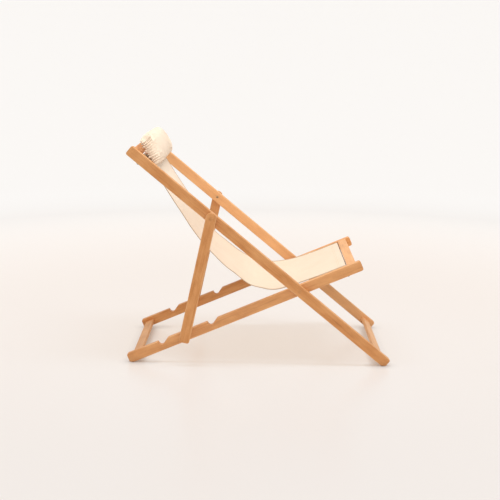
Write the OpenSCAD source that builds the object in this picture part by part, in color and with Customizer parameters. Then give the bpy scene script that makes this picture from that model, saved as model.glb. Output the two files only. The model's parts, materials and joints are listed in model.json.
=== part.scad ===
// Folding wooden garden chair with a canvas sling and a stuffed headrest.
// Two long frames cross at the main pivot: the back frame runs from the head
// to the front feet, and the narrower seat frame runs from the rear feet to
// the front of the seat. A third frame, the prop, hangs outside the back frame,
// and its bar drops into one of the notches along the seat rails.
// +X points to the front, +Y to the sitter's left and +Z up. The floor is z = 0.

/* [Timber] */
// Depth of every rail and leg, seen from the side of the chair
rail_h = 40; // [32:1:52]
// Thickness of every rail and leg, across the chair
rail_t = 20; // [18:1:26]
// Radius of the eased long edges of all timber
ease_r = 3; // [1:0.5:4]
// Radius of the rounded corners at the rail ends
end_r = 9; // [4:0.5:12]

/* [Width] */
// Overall width across the two prop legs
overall_w = 600; // [500:5:720]
// Gap between neighbouring rails, filled by the pivot washers
rail_gap = 2; // [1:0.5:4]

/* [Back frame] */
// From the main pivot to the head end of the back rails
back_head_len = 832; // [760:2:940]
// From the main pivot to where the flat cut of the foot starts, along the rail
back_foot_len = 427; // [370:1:470]
// Length of the back rails past that point, along the rail
back_foot_toe = 15; // [14:1:30]
// From the main pivot to the prop pivot
prop_pivot_len = 436; // [420:1:452]
// From the head end of the back rails to the middle of the head slat
head_slat_in = 27; // [22:1:30]
// From the middle of the head slat to the middle of the head rod
head_rod_in = 31; // [29:1:40]
// From the foot end of the back rails to the middle of the foot slat
foot_slat_in = 40; // [36:1:100]
// How far the foot and head slats lie below the middle of the rails
back_slat_drop = 0; // [0:0.5:4]

/* [Seat frame] */
// From the main pivot to where the flat cut of the rear foot starts, along the rail
seat_rear_len = 694; // [660:1:740]
// Length of the seat rails past that point, along the rail
seat_rear_toe = 18; // [16:1:26]
// From the main pivot to the front end of the seat rails
seat_front_len = 255; // [245:1:320]
// From the front end of the seat rails to the middle of the front slat
front_slat_in = 36; // [25:1:40]
// From the middle of the front slat to the middle of the front rod
front_rod_in = 26; // [26:1:40]
// Width of the front slat, along the rails
front_slat_w = 35; // [32:1:36]
// How far the top of the front slat lies below the top of the rails
front_slat_inset = 1.5; // [0:0.5:4]
// From the rear end of the seat rails to the middle of the rear slat
rear_slat_in = 33; // [24:1:80]
// How far the rear slat lies below the middle of the rails
rear_slat_drop = 1.5; // [0:0.5:6]

/* [Slats] */
// Width of the other cross slats, along the rails
slat_w = 38; // [34:1:44]
// Thickness of the cross slats
slat_t = 13; // [12:1:20]
// Width of the tenons at the slat ends
tenon_w = 26; // [20:1:28]
// Thickness of the tenons
tenon_t = 8; // [6:1:10]
// How far the tenons reach into the rails
tenon_len = 14; // [8:0.5:16]

/* [Notches] */
// From the main pivot to the prop bar when it lies in the notch in use
notch_pos = 464; // [450:1:476]
// Distance between neighbouring notches
notch_pitch = 103; // [92:1:106]
// Depth of the notches below the top of the rail
notch_depth = 18; // [14:0.5:20]
// Steepness of the rear wall that holds the bar
notch_wall = 78; // [70:1:86]
// Slope of the front ramp that the bar slides up
notch_ramp = 33; // [28:1:42]
// Rounding of the crest between a ramp and the top of the rail
crest_r = 12; // [4:1:16]

/* [Prop frame] */
// From the prop pivot to the middle of the prop bar
prop_len = 458; // [448:1:470]
// Diameter of the prop bar
prop_bar_d = 22; // [18:1:24]
// Length of the prop legs past the prop pivot
prop_top_over = 22; // [20:1:32]
// Length of the prop legs past the middle of the prop bar
prop_foot_over = 31; // [24:1:36]

/* [Pivots] */
// Diameter of the sleeve nut that the rails turn on
sleeve_d = 10; // [8:0.5:12]
// Diameter of the bolt inside the sleeve nut
bolt_d = 6; // [4:0.5:6]
// Diameter of the bolt head
bolt_head_d = 15; // [12:0.5:15.5]
// Thickness of the bolt head
bolt_head_t = 3.5; // [2:0.5:4]
// Diameter of the wooden plug over the bolt head
plug_d = 16; // [16:0.5:18]
// Thickness of the wooden plug
plug_t = 4; // [3:0.5:5]
// Diameter of the sleeve nut's flange
flange_d = 12; // [12:0.5:18]
// Thickness of the sleeve nut's flange
flange_t = 2.5; // [1.5:0.5:3]
// Outer diameter of the washers
washer_d = 26; // [20:1:32]

/* [Sling rods] */
// Diameter of the rods that carry the sling
rod_d = 12; // [10:1:14]
// How far the rods lie above the middle of the rails
rod_rise = 10; // [6:0.5:10.5]
// How far the rods reach into the rails
rod_seat = 12; // [8:1:14]
// Diameter of the screws that lock the rods
pin_d = 3.5; // [3:0.5:5]
// Diameter of the screw heads under the rails
pin_head_d = 11; // [8:0.5:12]
// Height of the screw heads
pin_head_h = 4; // [2:0.5:5]

/* [Sling] */
// Thickness of the canvas
canvas_t = 1.5; // [1:0.1:2]
// Gap between the canvas edge and the seat rail
canvas_side_gap = 6; // [4:1:20]
// Angle between the canvas and the back rails at the head rod
canvas_drop = 20; // [16:0.5:24]
// Share of the way to its bend that the canvas keeps straight below the head rod
head_share = 1; // [0.8:0.01:1]
// Share of the way to its bend that the canvas keeps straight behind the front rod
front_share = 0.78; // [0.6:0.01:1]
// Distance from each rod to the seam of its hem
hem_seam = 16; // [13:1:24]
// Width of the sewn-down hem past its seam
hem_len = 14; // [8:1:20]

/* [Headrest] */
// Length of the pillow across the chair, short of the canvas width
pillow_short = 4; // [0:1:30]
// Size of the pillow along the canvas
pillow_l = 130; // [100:1:136]
// Thickness of the pillow at its crown
pillow_h = 62; // [44:1:70]
// How far the middle of the pillow lies above the head rod, along the canvas
pillow_up = 4; // [-10:1:12]
// Share of the pillow's thickness that lies under its seam
pillow_sit = 0.31; // [0.25:0.01:0.5]
// Share of its width that the pillow loses towards its two sewn ends
pillow_taper = 0.17; // [0.1:0.01:0.4]
// Number of gathers round each end of the pillow
gathers = 12; // [8:1:12]
// Depth of the gathers
gather_h = 2.4; // [1:0.2:3]

/* [Foot glides] */
// Diameter of the glides under the feet
glide_d = 12; // [10:0.5:14]
// Thickness of the glides, which is the height of the feet over the floor
glide_t = 3; // [2:0.5:5]
// From the start of a foot's flat cut to the middle of its glide
glide_in = 7.5; // [7:0.5:9]

/* [Fits] */
// Radial clearance of the turning joints
run_fit = 0.06; // [0.02:0.01:0.1]
// Clearance of glued and screwed joints
glue_fit = 0.05; // [0.02:0.01:0.1]
// Clearance between a piece and the seat that it rests on
rest_fit = 0.3; // [0.2:0.05:0.4]

/* [Hidden] */
$fn = 64;
wood = [0.85, 0.58, 0.35];
wood_dark = [0.72, 0.45, 0.25];
canvas_colour = [0.98, 0.91, 0.81];
steel = [0.55, 0.52, 0.48];
rubber = [0.15, 0.12, 0.1];

half_h = rail_h / 2;
leg_top_r = half_h - 1;
prop_y = overall_w / 2 - rail_t / 2;
back_y = prop_y - rail_t - rail_gap;
seat_y = back_y - rail_t - rail_gap;
seat_inner = seat_y - rail_t / 2;
back_inner = back_y - rail_t / 2;
prop_inner = prop_y - rail_t / 2;

// The bar in its notch and the two pivots make a triangle of fixed sides
bar_r = prop_bar_d / 2;
bar_seat_r = bar_r + rest_fit;
bar_z = half_h - notch_depth + bar_seat_r;
// The saw cuts of a notch stop this far inside the round cuts that they meet
cut_step = 0.2;
// How far cuts, and pieces that are joined to others, reach past the face between them
over = 1;
bar_dist = norm([notch_pos, bar_z]);
pivot_corner = acos(
    (bar_dist * bar_dist + prop_pivot_len * prop_pivot_len - prop_len * prop_len)
    / (2 * bar_dist * prop_pivot_len));
// Angle between the head part of the back rails and the rear part of the seat rails
spread = pivot_corner + atan2(bar_z, notch_pos);

// The two feet set the floor line, seen from the seat rails
foot_local = [
    back_foot_len * cos(spread) - half_h * sin(spread),
    -back_foot_len * sin(spread) - half_h * cos(spread)];
seat_tilt = atan2(-half_h - foot_local[1], foot_local[0] + seat_rear_len);
back_tilt = spread - seat_tilt;
pivot_z = seat_rear_len * sin(seat_tilt) + half_h * cos(seat_tilt) + glide_t;

// Directions along and across each frame, in the side plane
function ray(a) = [cos(a), sin(a)];
function side(a) = [-sin(a), cos(a)];
function seat_pt(x, z) = x * ray(seat_tilt) + z * side(seat_tilt);
function back_pt(x, z) = x * ray(-back_tilt) + z * side(-back_tilt);

// The origin lies under the middle of the chair's length
seat_end = seat_rear_len + seat_rear_toe;
back_end = back_foot_len + back_foot_toe;
x_low = seat_pt(-seat_end + end_r, half_h - end_r)[0] - end_r;
x_high = back_pt(back_end - end_r, half_h - end_r)[0] + end_r;
pivot_x = -(x_low + x_high) / 2;
// A length that reaches past the chair on every side
room = seat_end + seat_front_len + back_head_len;

prop_pivot = back_pt(-prop_pivot_len, 0);
bar_at = seat_pt(-notch_pos, bar_z);
prop_lean = atan2(prop_pivot[1] - bar_at[1], prop_pivot[0] - bar_at[0]);

head_slat_x = -back_head_len + head_slat_in;
head_rod_x = head_slat_x + head_rod_in;
front_slat_x = seat_front_len - front_slat_in;
rear_slat_x = -seat_end + rear_slat_in;
foot_slat_x = back_end - foot_slat_in;
front_rod_x = front_slat_x - front_rod_in;
front_slat_z = half_h - front_slat_inset - slat_t / 2;
// Middles of the glides, from the main pivot along the floor
rear_glide_x = seat_pt(-seat_rear_len, -half_h)[0] - glide_in;
front_glide_x = back_pt(back_foot_len, -half_h)[0] + glide_in;

rod_r = rod_d / 2;
canvas_r = rod_r + rest_fit + canvas_t / 2;
canvas_w = 2 * (seat_inner - canvas_side_gap);
head_slope = -(back_tilt + canvas_drop);
front_slope = seat_tilt;
head_rod_at = back_pt(head_rod_x, rod_rise);
front_rod_at = seat_pt(front_rod_x, rod_rise);

// Puts the main pivot at its place over the floor
module at_pivot() translate([pivot_x, 0, pivot_z]) children();
// Frames with x along the rail and z square to it, started at a pivot
module in_seat() at_pivot() rotate([0, -seat_tilt, 0]) children();
module in_back() at_pivot() rotate([0, back_tilt, 0]) children();
module in_prop()
    at_pivot() translate([prop_pivot[0], 0, prop_pivot[1]])
        rotate([0, -prop_lean, 0]) children();

// A rectangle with round corners, from straight pieces and circles
module soft_rect(x0, x1, z0, z1, r) {
    translate([x0 + r, z0]) square([x1 - x0 - 2 * r, z1 - z0]);
    translate([x0, z0 + r]) square([x1 - x0, z1 - z0 - 2 * r]);
    for (x = [x0 + r, x1 - r], z = [z0 + r, z1 - r])
        translate([x, z]) circle(r);
}

// A prism across the chair from a side outline
module across(w) rotate([90, 0, 0]) linear_extrude(w, center = true) children();

// Timber along x with eased long edges; r0 and r1 round its ends, seen from the side
module timber(x0, x1, h, t, r0, r1) {
    middle = (x0 + x1) / 2;
    intersection() {
        translate([x0, 0, 0]) rotate([90, 0, 90])
            linear_extrude(x1 - x0) soft_rect(-t / 2, t / 2, -h / 2, h / 2, ease_r);
        across(t + 2 * over) union() {
            soft_rect(x0, middle + r0, -h / 2, h / 2, r0);
            soft_rect(middle - r1, x1, -h / 2, h / 2, r1);
        }
    }
}

// A cylinder across the chair, from y0 to y1
module round_y(x, z, r, y0, y1)
    translate([x, y0, z]) rotate([-90, 0, 0]) cylinder(h = y1 - y0, r = r);

// What is cut away to round the crest where a ramp meets the top of the rail
module crest_waste(turn, r) {
    reach = r * tan(turn / 2);
    difference() {
        polygon([[0, over], [reach, over], [reach, 0], [-reach * cos(turn), -reach * sin(turn)]]);
        translate([reach, -r]) circle(r + cut_step);
    }
}

// Side outline of one notch, round the prop bar at the origin
module notch() {
    rise = half_h - bar_z;
    wall_foot = (bar_seat_r - cut_step) * ray(270 - notch_wall);
    ramp_foot = (bar_seat_r - cut_step) * ray(notch_ramp - 90);
    wall_top = wall_foot[0] - (rise - wall_foot[1]) / tan(notch_wall);
    ramp_top = ramp_foot[0] + (rise - ramp_foot[1]) / tan(notch_ramp);
    circle(bar_seat_r);
    polygon([wall_foot, [wall_top, rise], [wall_top, rise + over],
        [ramp_top, rise + over], [ramp_top, rise], ramp_foot, [0, 0]]);
    translate([ramp_top, rise]) crest_waste(notch_ramp, crest_r);
}

// Keeps what lies over the glides, in the room's own axes
module over_glides() intersection() {
    children();
    translate([-room, -overall_w, glide_t]) cube([2 * room, 2 * overall_w, room]);
}

module mortise(x, z, y_face, s) {
    w = tenon_w + 2 * glue_fit;
    h = tenon_t + 2 * glue_fit;
    d = tenon_len + rest_fit;
    y0 = s > 0 ? y_face - over : -y_face - d;
    translate([x - w / 2, y0, z - h / 2]) cube([w, d + over, h]);
}

module rod_hole(x, y_face, s) {
    d = rod_seat + rest_fit;
    y0 = s > 0 ? y_face - over : -y_face - d;
    round_y(x, rod_rise, rod_r + glue_fit, y0, y0 + d + over);
    translate([x, s * (y_face + rod_seat / 2), -half_h - over])
        cylinder(h = half_h + rod_rise, r = pin_d / 2 + glue_fit);
}

// Bores of a pivot through the outer rail, with the pocket for head and plug
module outer_bore(y, s) {
    face = y + rail_t / 2;
    pocket = bolt_head_t + plug_t;
    round_y(0, 0, sleeve_d / 2 + run_fit, s * y - rail_t, s * y + rail_t);
    round_y(0, 0, plug_d / 2 + glue_fit,
        s > 0 ? face - pocket : -face - over, s > 0 ? face + over : -face + pocket);
}

// Bores of a pivot through the inner rail, with the pocket for the flange
module inner_bore(y, s) {
    face = y - rail_t / 2;
    pocket = flange_t + rest_fit;
    round_y(0, 0, sleeve_d / 2 + run_fit, s * y - rail_t, s * y + rail_t);
    round_y(0, 0, flange_d / 2 + rest_fit,
        s > 0 ? face - over : -face - pocket, s > 0 ? face + pocket : -face + over);
}

module seat_rail(s) {
    color(wood) over_glides() in_seat() difference() {
        translate([0, s * seat_y, 0]) timber(-seat_end, seat_front_len, rail_h, rail_t, end_r, end_r);
        for (k = [-1:1])
            translate([-notch_pos + k * notch_pitch, s * seat_y, bar_z]) across(rail_t + 2 * over) notch();
        inner_bore(seat_y, s);
        mortise(front_slat_x, front_slat_z, seat_inner, s);
        mortise(rear_slat_x, -rear_slat_drop, seat_inner, s);
        rod_hole(front_rod_x, seat_inner, s);
    }
}

module back_rail(s) {
    color(wood) over_glides() in_back() difference() {
        translate([0, s * back_y, 0]) timber(-back_head_len, back_end, rail_h, rail_t, end_r, end_r);
        outer_bore(back_y, s);
        translate([-prop_pivot_len, 0, 0]) inner_bore(back_y, s);
        mortise(head_slat_x, -back_slat_drop, back_inner, s);
        mortise(foot_slat_x, -back_slat_drop, back_inner, s);
        rod_hole(head_rod_x, back_inner, s);
    }
}

module prop_leg(s) {
    color(wood) in_prop() difference() {
        translate([0, s * prop_y, 0])
            timber(-prop_len - prop_foot_over, prop_top_over, rail_h, rail_t, end_r, leg_top_r);
        outer_bore(prop_y, s);
        y0 = s > 0 ? prop_inner - over : -prop_inner - rod_seat - rest_fit;
        round_y(-prop_len, 0, bar_r + glue_fit, y0, y0 + rod_seat + rest_fit + over);
    }
}

// A cross slat with a tenon at each end, its middle at the origin
module slat(inner, w) {
    across(2 * inner) soft_rect(-w / 2, w / 2, -slat_t / 2, slat_t / 2, ease_r);
    for (s = [-1, 1])
        translate([-tenon_w / 2, s > 0 ? inner - over : -inner - tenon_len, -tenon_t / 2])
            cube([tenon_w, tenon_len + over, tenon_t]);
}

module seat_front_slat()
    color(wood) in_seat()
        translate([front_slat_x, 0, front_slat_z]) slat(seat_inner, front_slat_w);
module seat_rear_slat()
    color(wood) in_seat() translate([rear_slat_x, 0, -rear_slat_drop]) slat(seat_inner, slat_w);
module head_slat()
    color(wood) in_back() translate([head_slat_x, 0, -back_slat_drop]) slat(back_inner, slat_w);
module foot_slat()
    color(wood) in_back() translate([foot_slat_x, 0, -back_slat_drop]) slat(back_inner, slat_w);

// A round rod with chamfered ends, across the chair
module rod(r, half_len) {
    bevel = 1;
    rotate([90, 0, 0]) rotate_extrude()
        polygon([[0, -half_len], [r - bevel, -half_len], [r, -half_len + bevel],
            [r, half_len - bevel], [r - bevel, half_len], [0, half_len]]);
}

module front_rod()
    color(wood_dark) in_seat() translate([front_rod_x, 0, rod_rise])
        rod(rod_r, seat_inner + rod_seat);
module head_rod()
    color(wood_dark) in_back() translate([head_rod_x, 0, rod_rise])
        rod(rod_r, back_inner + rod_seat);
module prop_bar()
    color(wood) in_prop() translate([-prop_len, 0, 0]) rod(bar_r, prop_inner + rod_seat);

// Dome-headed screws from under the rails, up against the rod ends
module rod_screws(x, y_face) {
    shank_top = rod_rise - rod_r - glue_fit;
    for (s = [-1, 1]) translate([x, s * (y_face + rod_seat / 2), -half_h]) {
        cylinder(h = half_h + shank_top, r = pin_d / 2);
        dome_r = (pin_head_d * pin_head_d / 4 + pin_head_h * pin_head_h) / (2 * pin_head_h);
        intersection() {
            translate([0, 0, dome_r - pin_head_h]) sphere(dome_r);
            translate([0, 0, -pin_head_h]) cylinder(h = pin_head_h, r = pin_head_d / 2);
        }
    }
}
module front_rod_screws() color(steel) in_seat() rod_screws(front_rod_x, seat_inner);
module head_rod_screws() color(steel) in_back() rod_screws(head_rod_x, back_inner);

// Round glides under the two feet at x, with a bevel round the floor side
module foot_glides(x, y) {
    bevel = glide_t / 3;
    for (s = [-1, 1]) translate([pivot_x + x, s * y, 0])
        rotate_extrude() polygon([[0, 0], [glide_d / 2 - bevel, 0], [glide_d / 2, bevel],
            [glide_d / 2, glide_t], [0, glide_t]]);
}
module rear_foot_glides() color(rubber) foot_glides(rear_glide_x, seat_y);
module front_foot_glides() color(rubber) foot_glides(front_glide_x, back_y);

// The pieces of a pivot, on the y axis, for the outer rail at y
module bolts(y) {
    face = y + rail_t / 2;
    head_y = face - plug_t - bolt_head_t;
    tip_y = face - 2 * rail_t - rail_gap + 2 * flange_t;
    for (s = [-1, 1]) {
        round_y(0, 0, bolt_head_d / 2, s > 0 ? head_y : -head_y - bolt_head_t,
            s > 0 ? head_y + bolt_head_t : -head_y);
        round_y(0, 0, bolt_d / 2, s > 0 ? tip_y : -head_y - over, s > 0 ? head_y + over : -tip_y);
    }
}

module sleeve_nuts(y) {
    head_y = y + rail_t / 2 - plug_t - bolt_head_t - rest_fit;
    inner_face = y - rail_t / 2 - rail_gap - rail_t;
    for (s = [-1, 1]) difference() {
        union() {
            round_y(0, 0, sleeve_d / 2, s > 0 ? inner_face + flange_t / 2 : -head_y,
                s > 0 ? head_y : -inner_face - flange_t / 2);
            round_y(0, 0, flange_d / 2, s > 0 ? inner_face : -inner_face - flange_t,
                s > 0 ? inner_face + flange_t : -inner_face);
        }
        bore_y = inner_face + 2 * flange_t - rest_fit;
        round_y(0, 0, bolt_d / 2 + glue_fit, s > 0 ? bore_y : -head_y - over,
            s > 0 ? head_y + over : -bore_y);
        hex_socket(s > 0 ? inner_face : -inner_face, s);
    }
}

// Hexagon socket in the flange, open to the middle of the chair
module hex_socket(y, s) {
    deep = 1.2 * flange_t;
    translate([0, s > 0 ? y - over : y - deep, 0]) rotate([-90, 0, 0])
        cylinder(h = deep + over, r = bolt_d / 2, $fn = 6);
}

module washers(y) {
    outer = y - rail_t / 2;
    for (s = [-1, 1]) difference() {
        round_y(0, 0, washer_d / 2, s > 0 ? outer - rail_gap + run_fit : -outer,
            s > 0 ? outer : -outer + rail_gap - run_fit);
        round_y(0, 0, sleeve_d / 2 + rest_fit, s * outer - 2 * rail_gap, s * outer + 2 * rail_gap);
    }
}

module plugs(y) {
    face = y + rail_t / 2;
    for (s = [-1, 1])
        round_y(0, 0, plug_d / 2, s > 0 ? face - plug_t : -face, s > 0 ? face : -face + plug_t);
}

module main_pivot_bolts() color(steel) in_back() bolts(back_y);
module main_pivot_sleeve_nuts() color(steel) in_back() sleeve_nuts(back_y);
module main_pivot_washers() color(steel) in_back() washers(back_y);
module main_pivot_plugs() color(wood_dark) in_back() plugs(back_y);
module prop_pivot_bolts() color(steel) in_prop() bolts(prop_y);
module prop_pivot_sleeve_nuts() color(steel) in_prop() sleeve_nuts(prop_y);
module prop_pivot_washers() color(steel) in_prop() washers(prop_y);
module prop_pivot_plugs() color(wood_dark) in_prop() plugs(prop_y);

// The canvas in the side plane: a hem round the head rod, a hanging curve
// whose end slopes meet at one point, and a hem round the front rod
arc_steps = 16;
curve_steps = 36;
head_leave = head_rod_at + canvas_r * side(head_slope);
front_reach = front_rod_at + canvas_r * side(front_slope);
function cross2(a, b) = a[0] * b[1] - a[1] * b[0];
slope_reach = cross2(front_reach - head_leave, ray(front_slope))
    / cross2(ray(head_slope), ray(front_slope));
slope_meet = head_leave + slope_reach * ray(head_slope);
head_handle = head_leave + head_share * (slope_meet - head_leave);
front_handle = front_reach + front_share * (slope_meet - front_reach);
function hang(u) = pow(1 - u, 3) * head_leave + 3 * pow(1 - u, 2) * u * head_handle
    + 3 * (1 - u) * u * u * front_handle + pow(u, 3) * front_reach;
// The hem lies against the underside of the canvas and leaves it at the seam
hem_under = canvas_r - canvas_t - rest_fit;
wrap_start = atan2(hem_seam, hem_under) + acos(canvas_r / norm([hem_seam, hem_under]));
function hem_at(rod, slope, along) = rod + hem_under * side(slope) + along * ray(slope);
// A point on the hem's turn round a rod, by how far it lies past the top
function turn_at(rod, slope, past) = rod + canvas_r * side(slope - past);
canvas_path = concat(
    [hem_at(head_rod_at, head_slope, hem_seam + hem_len), hem_at(head_rod_at, head_slope, hem_seam)],
    [for (i = [0:arc_steps])
        turn_at(head_rod_at, head_slope, wrap_start + (360 - wrap_start) * i / arc_steps)],
    [for (i = [1:curve_steps - 1]) hang(i / curve_steps)],
    [for (i = [0:arc_steps])
        turn_at(front_rod_at, front_slope, (360 - wrap_start) * i / arc_steps)],
    [hem_at(front_rod_at, front_slope, -hem_seam),
        hem_at(front_rod_at, front_slope, -hem_seam - hem_len)]);
canvas_last = len(canvas_path) - 1;
function unit(v) = v / norm(v);
function path_normal(p, i) =
    let (a = p[max(i - 1, 0)], b = p[min(i + 1, len(p) - 1)], d = unit(b - a)) [-d[1], d[0]];
canvas_outline = concat(
    [for (i = [0:canvas_last]) canvas_path[i] + canvas_t / 2 * path_normal(canvas_path, i)],
    [for (i = [canvas_last:-1:0]) canvas_path[i] - canvas_t / 2 * path_normal(canvas_path, i)]);

module sling() color(canvas_colour) at_pivot() across(canvas_w) polygon(canvas_outline);

// The headrest lies on the canvas over the head rod. Its axes start where the
// canvas leaves the rod: x down along the canvas, z out of it.
module in_headrest()
    at_pivot() translate([head_leave[0], 0, head_leave[1]])
        rotate([0, -head_slope, 0]) children();

pillow_half = (canvas_w - pillow_short) / 2;
ring_steps = 4 * gathers;
pillow_stations = 24;
// The last ring of points lies just short of the seam across each end
end_gap = 0.96;
// Thickness along the pillow, from 0 at its sewn ends to 1 in the middle
function fullness(v) = pow(1 - pow(abs(v), 4.5), 1 / 2.2);
// Width along the pillow, which keeps most of its size up to the straight end seams
function breadth(v) = 1 - pillow_taper * pow(abs(v), 6);
// A station's place along the pillow, closer together towards the ends
function station(j) = sin(90 * end_gap * (2 * j / (pillow_stations - 1) - 1));
// A power that keeps its sign, to make a curve fuller than a circle
function full(c, power) = sign(c) * pow(abs(c), power);
function pillow_point(v, a) =
    let (
        gather = gather_h * pow(abs(v), 6) * cos(gathers * a),
        depth = pillow_h * (sin(a) > 0 ? 1 - pillow_sit : pillow_sit)
    )
    [
        (pillow_l / 2 * breadth(v)) * full(cos(a), 0.8) - pillow_up,
        v * pillow_half,
        pillow_h * pillow_sit + canvas_t / 2 + rest_fit
            + (depth * fullness(v) + gather) * full(sin(a), 0.9)
    ];
pillow_points = [for (j = [0:pillow_stations - 1], i = [0:ring_steps - 1])
    pillow_point(station(j), 360 * i / ring_steps)];
function ring_at(j, i) = j * ring_steps + (i % ring_steps);
pillow_faces = concat(
    [for (j = [0:pillow_stations - 2], i = [0:ring_steps - 1])
        [ring_at(j, i), ring_at(j + 1, i + 1), ring_at(j, i + 1)]],
    [for (j = [0:pillow_stations - 2], i = [0:ring_steps - 1])
        [ring_at(j, i), ring_at(j + 1, i), ring_at(j + 1, i + 1)]],
    [for (i = [1:ring_steps - 2]) [ring_at(0, 0), ring_at(0, i), ring_at(0, i + 1)]],
    [for (i = [1:ring_steps - 2])
        [ring_at(pillow_stations - 1, 0), ring_at(pillow_stations - 1, i + 1),
            ring_at(pillow_stations - 1, i)]]);

module headrest_pillow()
    color(canvas_colour) in_headrest() polyhedron(pillow_points, pillow_faces);

seat_rail(-1);  // seat_rail_right
seat_rail(1);  // seat_rail_left
seat_front_slat();
seat_rear_slat();
front_rod();
front_rod_screws();
rear_foot_glides();
back_rail(-1);  // back_rail_right
back_rail(1);  // back_rail_left
head_slat();
foot_slat();
head_rod();
head_rod_screws();
front_foot_glides();
prop_leg(-1);  // prop_leg_right
prop_leg(1);  // prop_leg_left
prop_bar();
main_pivot_bolts();
main_pivot_sleeve_nuts();
main_pivot_washers();
main_pivot_plugs();
prop_pivot_bolts();
prop_pivot_sleeve_nuts();
prop_pivot_washers();
prop_pivot_plugs();
sling();
headrest_pillow();
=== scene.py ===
"""Looks of a folding garden chair: wood, canvas, stitching and a stuffed headrest.

Everything is in metres in the frame of the CAD model: +X to the front, +Y to the sitter's left, +Z up.
"""

import json
import math

import bmesh
import bpy
import numpy as np
from mathutils import Matrix, Quaternion, Vector, noise


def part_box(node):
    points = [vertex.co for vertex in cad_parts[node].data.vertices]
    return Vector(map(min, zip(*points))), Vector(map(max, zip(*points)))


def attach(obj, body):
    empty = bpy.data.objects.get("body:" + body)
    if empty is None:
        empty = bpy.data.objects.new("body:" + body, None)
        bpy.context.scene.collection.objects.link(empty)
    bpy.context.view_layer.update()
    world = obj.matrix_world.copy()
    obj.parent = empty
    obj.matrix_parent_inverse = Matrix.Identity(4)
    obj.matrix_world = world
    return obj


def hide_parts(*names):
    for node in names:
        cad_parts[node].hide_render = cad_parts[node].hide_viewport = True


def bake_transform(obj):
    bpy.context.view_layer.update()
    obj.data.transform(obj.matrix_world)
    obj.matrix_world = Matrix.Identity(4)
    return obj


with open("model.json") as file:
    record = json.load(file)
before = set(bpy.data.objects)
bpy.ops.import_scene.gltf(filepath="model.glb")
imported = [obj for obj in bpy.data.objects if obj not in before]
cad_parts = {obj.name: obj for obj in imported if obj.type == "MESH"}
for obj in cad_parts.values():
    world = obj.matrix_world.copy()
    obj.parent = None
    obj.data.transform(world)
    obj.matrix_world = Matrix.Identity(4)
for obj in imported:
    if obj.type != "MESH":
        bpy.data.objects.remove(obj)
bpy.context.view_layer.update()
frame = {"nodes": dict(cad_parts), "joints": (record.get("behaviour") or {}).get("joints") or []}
nodes = frame["nodes"]
pivots = {joint["name"]: Vector(joint["pos_m"]) for joint in frame["joints"]}


# Camera
# Fitted to the photograph's rail edges, in its 500 x 500 frame.
CAMERA_AT = Vector((0.0002, -3.9562, 1.1950))
CAMERA_AIM = Vector((-0.0358, 0.0, 0.3950))
CAMERA_ROLL = math.radians(0.39)
LENS_MM = 72.05
SENSOR_MM = 36.0


def make_camera():
    camera = bpy.data.objects.new("camera", bpy.data.cameras.new("camera"))
    bpy.context.scene.collection.objects.link(camera)
    camera.data.lens = LENS_MM
    camera.data.sensor_width = SENSOR_MM
    camera.location = CAMERA_AT
    camera.rotation_mode = "QUATERNION"
    aimed = (CAMERA_AIM - CAMERA_AT).to_track_quat("-Z", "Y")
    camera.rotation_quaternion = aimed @ Quaternion((0.0, 0.0, 1.0), CAMERA_ROLL)
    bpy.context.scene.camera = camera


make_camera()


# Directions of the three frames, seen from the side
MAIN_PIVOT = pivots["main_pivot"]
PROP_PIVOT = pivots["prop_pivot"]


def box_centre(node):
    low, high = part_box(node)
    return (low + high) / 2


HEAD_ROD = box_centre("head_rod")
FRONT_ROD = box_centre("front_rod")
PROP_BAR = box_centre("prop_bar")
BACK_TILT = -math.atan2(PROP_PIVOT.z - MAIN_PIVOT.z, MAIN_PIVOT.x - PROP_PIVOT.x)
PROP_TILT = math.atan2(PROP_PIVOT.z - PROP_BAR.z, PROP_PIVOT.x - PROP_BAR.x)
FRONT_ROD_RISE = 0.010  # how far the front rod's axis lies above the seat rails' middle line
FRONT_ROD_OFFSET = FRONT_ROD - MAIN_PIVOT
SEAT_TILT = math.atan2(FRONT_ROD_OFFSET.z, FRONT_ROD_OFFSET.x) - math.asin(
    FRONT_ROD_RISE / Vector((FRONT_ROD_OFFSET.x, FRONT_ROD_OFFSET.z)).length
)


def along(angle):
    """Unit vector in the side plane at an angle above +X."""
    return np.array([math.cos(angle), 0.0, math.sin(angle)])


def above(angle):
    """Unit vector square to along(angle), pointing up."""
    return np.array([-math.sin(angle), 0.0, math.cos(angle)])


# Material helpers
def feed(tree, socket, value):
    """Links value to the socket if it is an output of another node, or else sets it there."""
    if isinstance(value, bpy.types.NodeSocket):
        tree.links.new(value, socket)
    else:
        socket.default_value = value


def add(tree, kind, settings=None, **inputs):
    """Adds a shader node, with each input an output to link or a plain value.

    Two underscores in an input's name stand for a space.
    """
    node = tree.nodes.new(kind)
    for name, value in (settings or {}).items():
        setattr(node, name, value)
    for name, value in inputs.items():
        feed(tree, node.inputs[name.replace("__", " ")], value)
    return node


def math_node(tree, operation, a, b=0.0, c=0.0, clamp=False):
    node = tree.nodes.new("ShaderNodeMath")
    node.operation = operation
    node.use_clamp = clamp
    for socket, value in zip(node.inputs, (a, b, c)):
        feed(tree, socket, value)
    return node.outputs[0]


def map_range(tree, value, from_min, from_max, to_min=0.0, to_max=1.0):
    node = add(
        tree,
        "ShaderNodeMapRange",
        {"interpolation_type": "SMOOTHSTEP"},
        Value=value,
        From__Min=from_min,
        From__Max=from_max,
        To__Min=to_min,
        To__Max=to_max,
    )
    return node.outputs[0]


def mix_colour(tree, factor, a, b):
    """Goes from colour a to colour b, each an output or three plain numbers."""
    node = add(tree, "ShaderNodeMix", {"data_type": "RGBA"})
    feed(tree, node.inputs[0], factor)
    for index, colour in ((6, a), (7, b)):
        feed(tree, node.inputs[index], (*colour, 1.0) if isinstance(colour, tuple) else colour)
    return node.outputs[2]


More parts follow.
